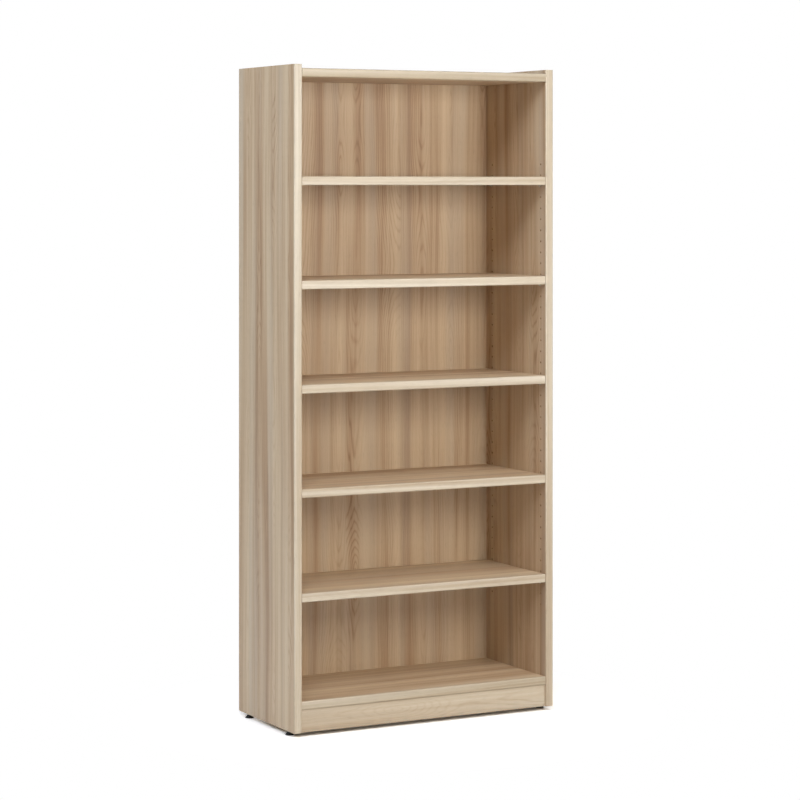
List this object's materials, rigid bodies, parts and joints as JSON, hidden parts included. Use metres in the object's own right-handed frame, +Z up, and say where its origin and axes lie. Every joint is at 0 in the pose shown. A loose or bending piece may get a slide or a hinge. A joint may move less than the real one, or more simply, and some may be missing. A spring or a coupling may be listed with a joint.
{
  "type": "bookcase with adjustable shelves",
  "caption": "Tall open-fronted laminated bookcase with shelves that move up and down on pins, a recessed kick board and levelling glides.",
  "frame": {"origin": "on the floor under the middle of the case", "axes": "+Z up, +X to the right seen from the open front, +Y to the rear; the open front faces -Y"},
  "size_m": [0.813, 0.357, 1.813],
  "materials": {
    "upright_laminate": "satin elm-look laminate, grain upright",
    "level_laminate": "satin elm-look laminate, grain lengthwise",
    "zinc_plated_steel": "zinc plated",
    "nickel_plated_steel": "nickel plated",
    "black_plastic": "moulded, satin"
  },
  "bodies": {
    "case": {"left_side_panel": "upright_laminate", "right_side_panel": "upright_laminate", "top_panel": "level_laminate", "bottom_panel": "level_laminate", "back_panel": "upright_laminate", "kick_board": "level_laminate", "cam_bolt_top_front_left": "zinc_plated_steel", "cam_bolt_top_front_right": "zinc_plated_steel", "cam_bolt_top_rear_left": "zinc_plated_steel", "cam_bolt_top_rear_right": "zinc_plated_steel", "cam_bolt_bottom_front_left": "zinc_plated_steel", "cam_bolt_bottom_front_right": "zinc_plated_steel", "cam_bolt_bottom_rear_left": "zinc_plated_steel", "cam_bolt_bottom_rear_right": "zinc_plated_steel", "glide_insert_front_left": "zinc_plated_steel", "glide_insert_front_right": "zinc_plated_steel", "glide_insert_rear_left": "zinc_plated_steel", "glide_insert_rear_right": "zinc_plated_steel"},
    "shelf_1": {"shelf_1": "level_laminate"},
    "shelf_2": {"shelf_2": "level_laminate"},
    "shelf_3": {"shelf_3": "level_laminate"},
    "shelf_4": {"shelf_4": "level_laminate"},
    "shelf_5": {"shelf_5": "level_laminate"},
    "shelf_pin_1_front_left": {"shelf_pin_1_front_left": "nickel_plated_steel"},
    "shelf_pin_1_front_right": {"shelf_pin_1_front_right": "nickel_plated_steel"},
    "shelf_pin_1_rear_left": {"shelf_pin_1_rear_left": "nickel_plated_steel"},
    "shelf_pin_1_rear_right": {"shelf_pin_1_rear_right": "nickel_plated_steel"},
    "shelf_pin_2_front_left": {"shelf_pin_2_front_left": "nickel_plated_steel"},
    "shelf_pin_2_front_right": {"shelf_pin_2_front_right": "nickel_plated_steel"},
    "shelf_pin_2_rear_left": {"shelf_pin_2_rear_left": "nickel_plated_steel"},
    "shelf_pin_2_rear_right": {"shelf_pin_2_rear_right": "nickel_plated_steel"},
    "shelf_pin_3_front_left": {"shelf_pin_3_front_left": "nickel_plated_steel"},
    "shelf_pin_3_front_right": {"shelf_pin_3_front_right": "nickel_plated_steel"},
    "shelf_pin_3_rear_left": {"shelf_pin_3_rear_left": "nickel_plated_steel"},
    "shelf_pin_3_rear_right": {"shelf_pin_3_rear_right": "nickel_plated_steel"},
    "shelf_pin_4_front_left": {"shelf_pin_4_front_left": "nickel_plated_steel"},
    "shelf_pin_4_front_right": {"shelf_pin_4_front_right": "nickel_plated_steel"},
    "shelf_pin_4_rear_left": {"shelf_pin_4_rear_left": "nickel_plated_steel"},
    "shelf_pin_4_rear_right": {"shelf_pin_4_rear_right": "nickel_plated_steel"},
    "shelf_pin_5_front_left": {"shelf_pin_5_front_left": "nickel_plated_steel"},
    "shelf_pin_5_front_right": {"shelf_pin_5_front_right": "nickel_plated_steel"},
    "shelf_pin_5_rear_left": {"shelf_pin_5_rear_left": "nickel_plated_steel"},
    "shelf_pin_5_rear_right": {"shelf_pin_5_rear_right": "nickel_plated_steel"},
    "cam_lock_top_front_left": {"cam_lock_top_front_left": "zinc_plated_steel"},
    "cam_lock_top_front_right": {"cam_lock_top_front_right": "zinc_plated_steel"},
    "cam_lock_top_rear_left": {"cam_lock_top_rear_left": "zinc_plated_steel"},
    "cam_lock_top_rear_right": {"cam_lock_top_rear_right": "zinc_plated_steel"},
    "cam_lock_bottom_front_left": {"cam_lock_bottom_front_left": "zinc_plated_steel"},
    "cam_lock_bottom_front_right": {"cam_lock_bottom_front_right": "zinc_plated_steel"},
    "cam_lock_bottom_rear_left": {"cam_lock_bottom_rear_left": "zinc_plated_steel"},
    "cam_lock_bottom_rear_right": {"cam_lock_bottom_rear_right": "zinc_plated_steel"},
    "glide_foot_front_left": {"glide_foot_front_left": "black_plastic"},
    "glide_stem_front_left": {"glide_stem_front_left": "zinc_plated_steel"},
    "glide_foot_front_right": {"glide_foot_front_right": "black_plastic"},
    "glide_stem_front_right": {"glide_stem_front_right": "zinc_plated_steel"},
    "glide_foot_rear_left": {"glide_foot_rear_left": "black_plastic"},
    "glide_stem_rear_left": {"glide_stem_rear_left": "zinc_plated_steel"},
    "glide_foot_rear_right": {"glide_foot_rear_right": "black_plastic"},
    "glide_stem_rear_right": {"glide_stem_rear_right": "zinc_plated_steel"}
  },
  "joints": [
    {"name": "shelf_1_lift", "type": "slide", "parent": "case", "child": "shelf_1", "axis": [0, 0, 1], "range_m": [0, 0.25]},
    {"name": "shelf_2_lift", "type": "slide", "parent": "case", "child": "shelf_2", "axis": [0, 0, 1], "range_m": [0, 0.25]},
    {"name": "shelf_3_lift", "type": "slide", "parent": "case", "child": "shelf_3", "axis": [0, 0, 1], "range_m": [0, 0.25]},
    {"name": "shelf_4_lift", "type": "slide", "parent": "case", "child": "shelf_4", "axis": [0, 0, 1], "range_m": [0, 0.25]},
    {"name": "shelf_5_lift", "type": "slide", "parent": "case", "child": "shelf_5", "axis": [0, 0, 1], "range_m": [0, 0.2675]},
    {"name": "glide_height_front_left", "type": "slide", "parent": "case", "child": "glide_foot_front_left", "axis": [0, 0, -1], "range_m": [0, 0.019]},
    {"name": "glide_stem_turn_front_left", "type": "hinge", "parent": "glide_foot_front_left", "child": "glide_stem_front_left", "pos_m": [-0.3945, -0.1245, 0.01], "axis": [0, 0, 1], "range_deg": [0, 5500]},
    {"name": "glide_height_front_right", "type": "slide", "parent": "case", "child": "glide_foot_front_right", "axis": [0, 0, -1], "range_m": [0, 0.019]},
    {"name": "glide_stem_turn_front_right", "type": "hinge", "parent": "glide_foot_front_right", "child": "glide_stem_front_right", "pos_m": [0.3945, -0.1245, 0.01], "axis": [0, 0, 1], "range_deg": [0, 5500]},
    {"name": "glide_height_rear_left", "type": "slide", "parent": "case", "child": "glide_foot_rear_left", "axis": [0, 0, -1], "range_m": [0, 0.019]},
    {"name": "glide_stem_turn_rear_left", "type": "hinge", "parent": "glide_foot_rear_left", "child": "glide_stem_rear_left", "pos_m": [-0.3945, 0.1335, 0.01], "axis": [0, 0, 1], "range_deg": [0, 5500]},
    {"name": "glide_height_rear_right", "type": "slide", "parent": "case", "child": "glide_foot_rear_right", "axis": [0, 0, -1], "range_m": [0, 0.019]},
    {"name": "glide_stem_turn_rear_right", "type": "hinge", "parent": "glide_foot_rear_right", "child": "glide_stem_rear_right", "pos_m": [0.3945, 0.1335, 0.01], "axis": [0, 0, 1], "range_deg": [0, 5500]},
    {"name": "cam_lock_top_front_left_turn", "type": "hinge", "parent": "case", "child": "cam_lock_top_front_left", "pos_m": [-0.349, -0.1165, 1.8025], "axis": [0, 0, 1], "range_deg": [0, 180]},
    {"name": "cam_lock_top_front_right_turn", "type": "hinge", "parent": "case", "child": "cam_lock_top_front_right", "pos_m": [0.349, -0.1165, 1.8025], "axis": [0, 0, 1], "range_deg": [0, 180]},
    {"name": "cam_lock_top_rear_left_turn", "type": "hinge", "parent": "case", "child": "cam_lock_top_rear_left", "pos_m": [-0.349, 0.1095, 1.8025], "axis": [0, 0, 1], "range_deg": [0, 180]},
    {"name": "cam_lock_top_rear_right_turn", "type": "hinge", "parent": "case", "child": "cam_lock_top_rear_right", "pos_m": [0.349, 0.1095, 1.8025], "axis": [0, 0, 1], "range_deg": [0, 180]},
    {"name": "cam_lock_bottom_front_left_turn", "type": "hinge", "parent": "case", "child": "cam_lock_bottom_front_left", "pos_m": [-0.349, -0.1165, 0.074], "axis": [0, 0, -1], "range_deg": [0, 180]},
    {"name": "cam_lock_bottom_front_right_turn", "type": "hinge", "parent": "case", "child": "cam_lock_bottom_front_right", "pos_m": [0.349, -0.1165, 0.074], "axis": [0, 0, -1], "range_deg": [0, 180]},
    {"name": "cam_lock_bottom_rear_left_turn", "type": "hinge", "parent": "case", "child": "cam_lock_bottom_rear_left", "pos_m": [-0.349, 0.1095, 0.074], "axis": [0, 0, -1], "range_deg": [0, 180]},
    {"name": "cam_lock_bottom_rear_right_turn", "type": "hinge", "parent": "case", "child": "cam_lock_bottom_rear_right", "pos_m": [0.349, 0.1095, 0.074], "axis": [0, 0, -1], "range_deg": [0, 180]},
    {"name": "shelf_pin_1_front_left_pull", "type": "slide", "parent": "case", "child": "shelf_pin_1_front_left", "axis": [1, 0, 0], "range_m": [0, 0.011]},
    {"name": "shelf_pin_1_front_right_pull", "type": "slide", "parent": "case", "child": "shelf_pin_1_front_right", "axis": [-1, 0, 0], "range_m": [0, 0.011]},
    {"name": "shelf_pin_1_rear_left_pull", "type": "slide", "parent": "case", "child": "shelf_pin_1_rear_left", "axis": [1, 0, 0], "range_m": [0, 0.011]},
    {"name": "shelf_pin_1_rear_right_pull", "type": "slide", "parent": "case", "child": "shelf_pin_1_rear_right", "axis": [-1, 0, 0], "range_m": [0, 0.011]},
    {"name": "shelf_pin_2_front_left_pull", "type": "slide", "parent": "case", "child": "shelf_pin_2_front_left", "axis": [1, 0, 0], "range_m": [0, 0.011]},
    {"name": "shelf_pin_2_front_right_pull", "type": "slide", "parent": "case", "child": "shelf_pin_2_front_right", "axis": [-1, 0, 0], "range_m": [0, 0.011]},
    {"name": "shelf_pin_2_rear_left_pull", "type": "slide", "parent": "case", "child": "shelf_pin_2_rear_left", "axis": [1, 0, 0], "range_m": [0, 0.011]},
    {"name": "shelf_pin_2_rear_right_pull", "type": "slide", "parent": "case", "child": "shelf_pin_2_rear_right", "axis": [-1, 0, 0], "range_m": [0, 0.011]},
    {"name": "shelf_pin_3_front_left_pull", "type": "slide", "parent": "case", "child": "shelf_pin_3_front_left", "axis": [1, 0, 0], "range_m": [0, 0.011]},
    {"name": "shelf_pin_3_front_right_pull", "type": "slide", "parent": "case", "child": "shelf_pin_3_front_right", "axis": [-1, 0, 0], "range_m": [0, 0.011]},
    {"name": "shelf_pin_3_rear_left_pull", "type": "slide", "parent": "case", "child": "shelf_pin_3_rear_left", "axis": [1, 0, 0], "range_m": [0, 0.011]},
    {"name": "shelf_pin_3_rear_right_pull", "type": "slide", "parent": "case", "child": "shelf_pin_3_rear_right", "axis": [-1, 0, 0], "range_m": [0, 0.011]},
    {"name": "shelf_pin_4_front_left_pull", "type": "slide", "parent": "case", "child": "shelf_pin_4_front_left", "axis": [1, 0, 0], "range_m": [0, 0.011]},
    {"name": "shelf_pin_4_front_right_pull", "type": "slide", "parent": "case", "child": "shelf_pin_4_front_right", "axis": [-1, 0, 0], "range_m": [0, 0.011]},
    {"name": "shelf_pin_4_rear_left_pull", "type": "slide", "parent": "case", "child": "shelf_pin_4_rear_left", "axis": [1, 0, 0], "range_m": [0, 0.011]},
    {"name": "shelf_pin_4_rear_right_pull", "type": "slide", "parent": "case", "child": "shelf_pin_4_rear_right", "axis": [-1, 0, 0], "range_m": [0, 0.011]},
    {"name": "shelf_pin_5_front_left_pull", "type": "slide", "parent": "case", "child": "shelf_pin_5_front_left", "axis": [1, 0, 0], "range_m": [0, 0.011]},
    {"name": "shelf_pin_5_front_right_pull", "type": "slide", "parent": "case", "child": "shelf_pin_5_front_right", "axis": [-1, 0, 0], "range_m": [0, 0.011]},
    {"name": "shelf_pin_5_rear_left_pull", "type": "slide", "parent": "case", "child": "shelf_pin_5_rear_left", "axis": [1, 0, 0], "range_m": [0, 0.011]},
    {"name": "shelf_pin_5_rear_right_pull", "type": "slide", "parent": "case", "child": "shelf_pin_5_rear_right", "axis": [-1, 0, 0], "range_m": [0, 0.011]}
  ],
  "couplings": [
    {"joint": "glide_stem_turn_front_left", "follows": "glide_height_front_left", "rad_per_m": 5026.5},
    {"joint": "glide_stem_turn_front_right", "follows": "glide_height_front_right", "rad_per_m": 5026.5},
    {"joint": "glide_stem_turn_rear_left", "follows": "glide_height_rear_left", "rad_per_m": 5026.5},
    {"joint": "glide_stem_turn_rear_right", "follows": "glide_height_rear_right", "rad_per_m": 5026.5}
  ]
}
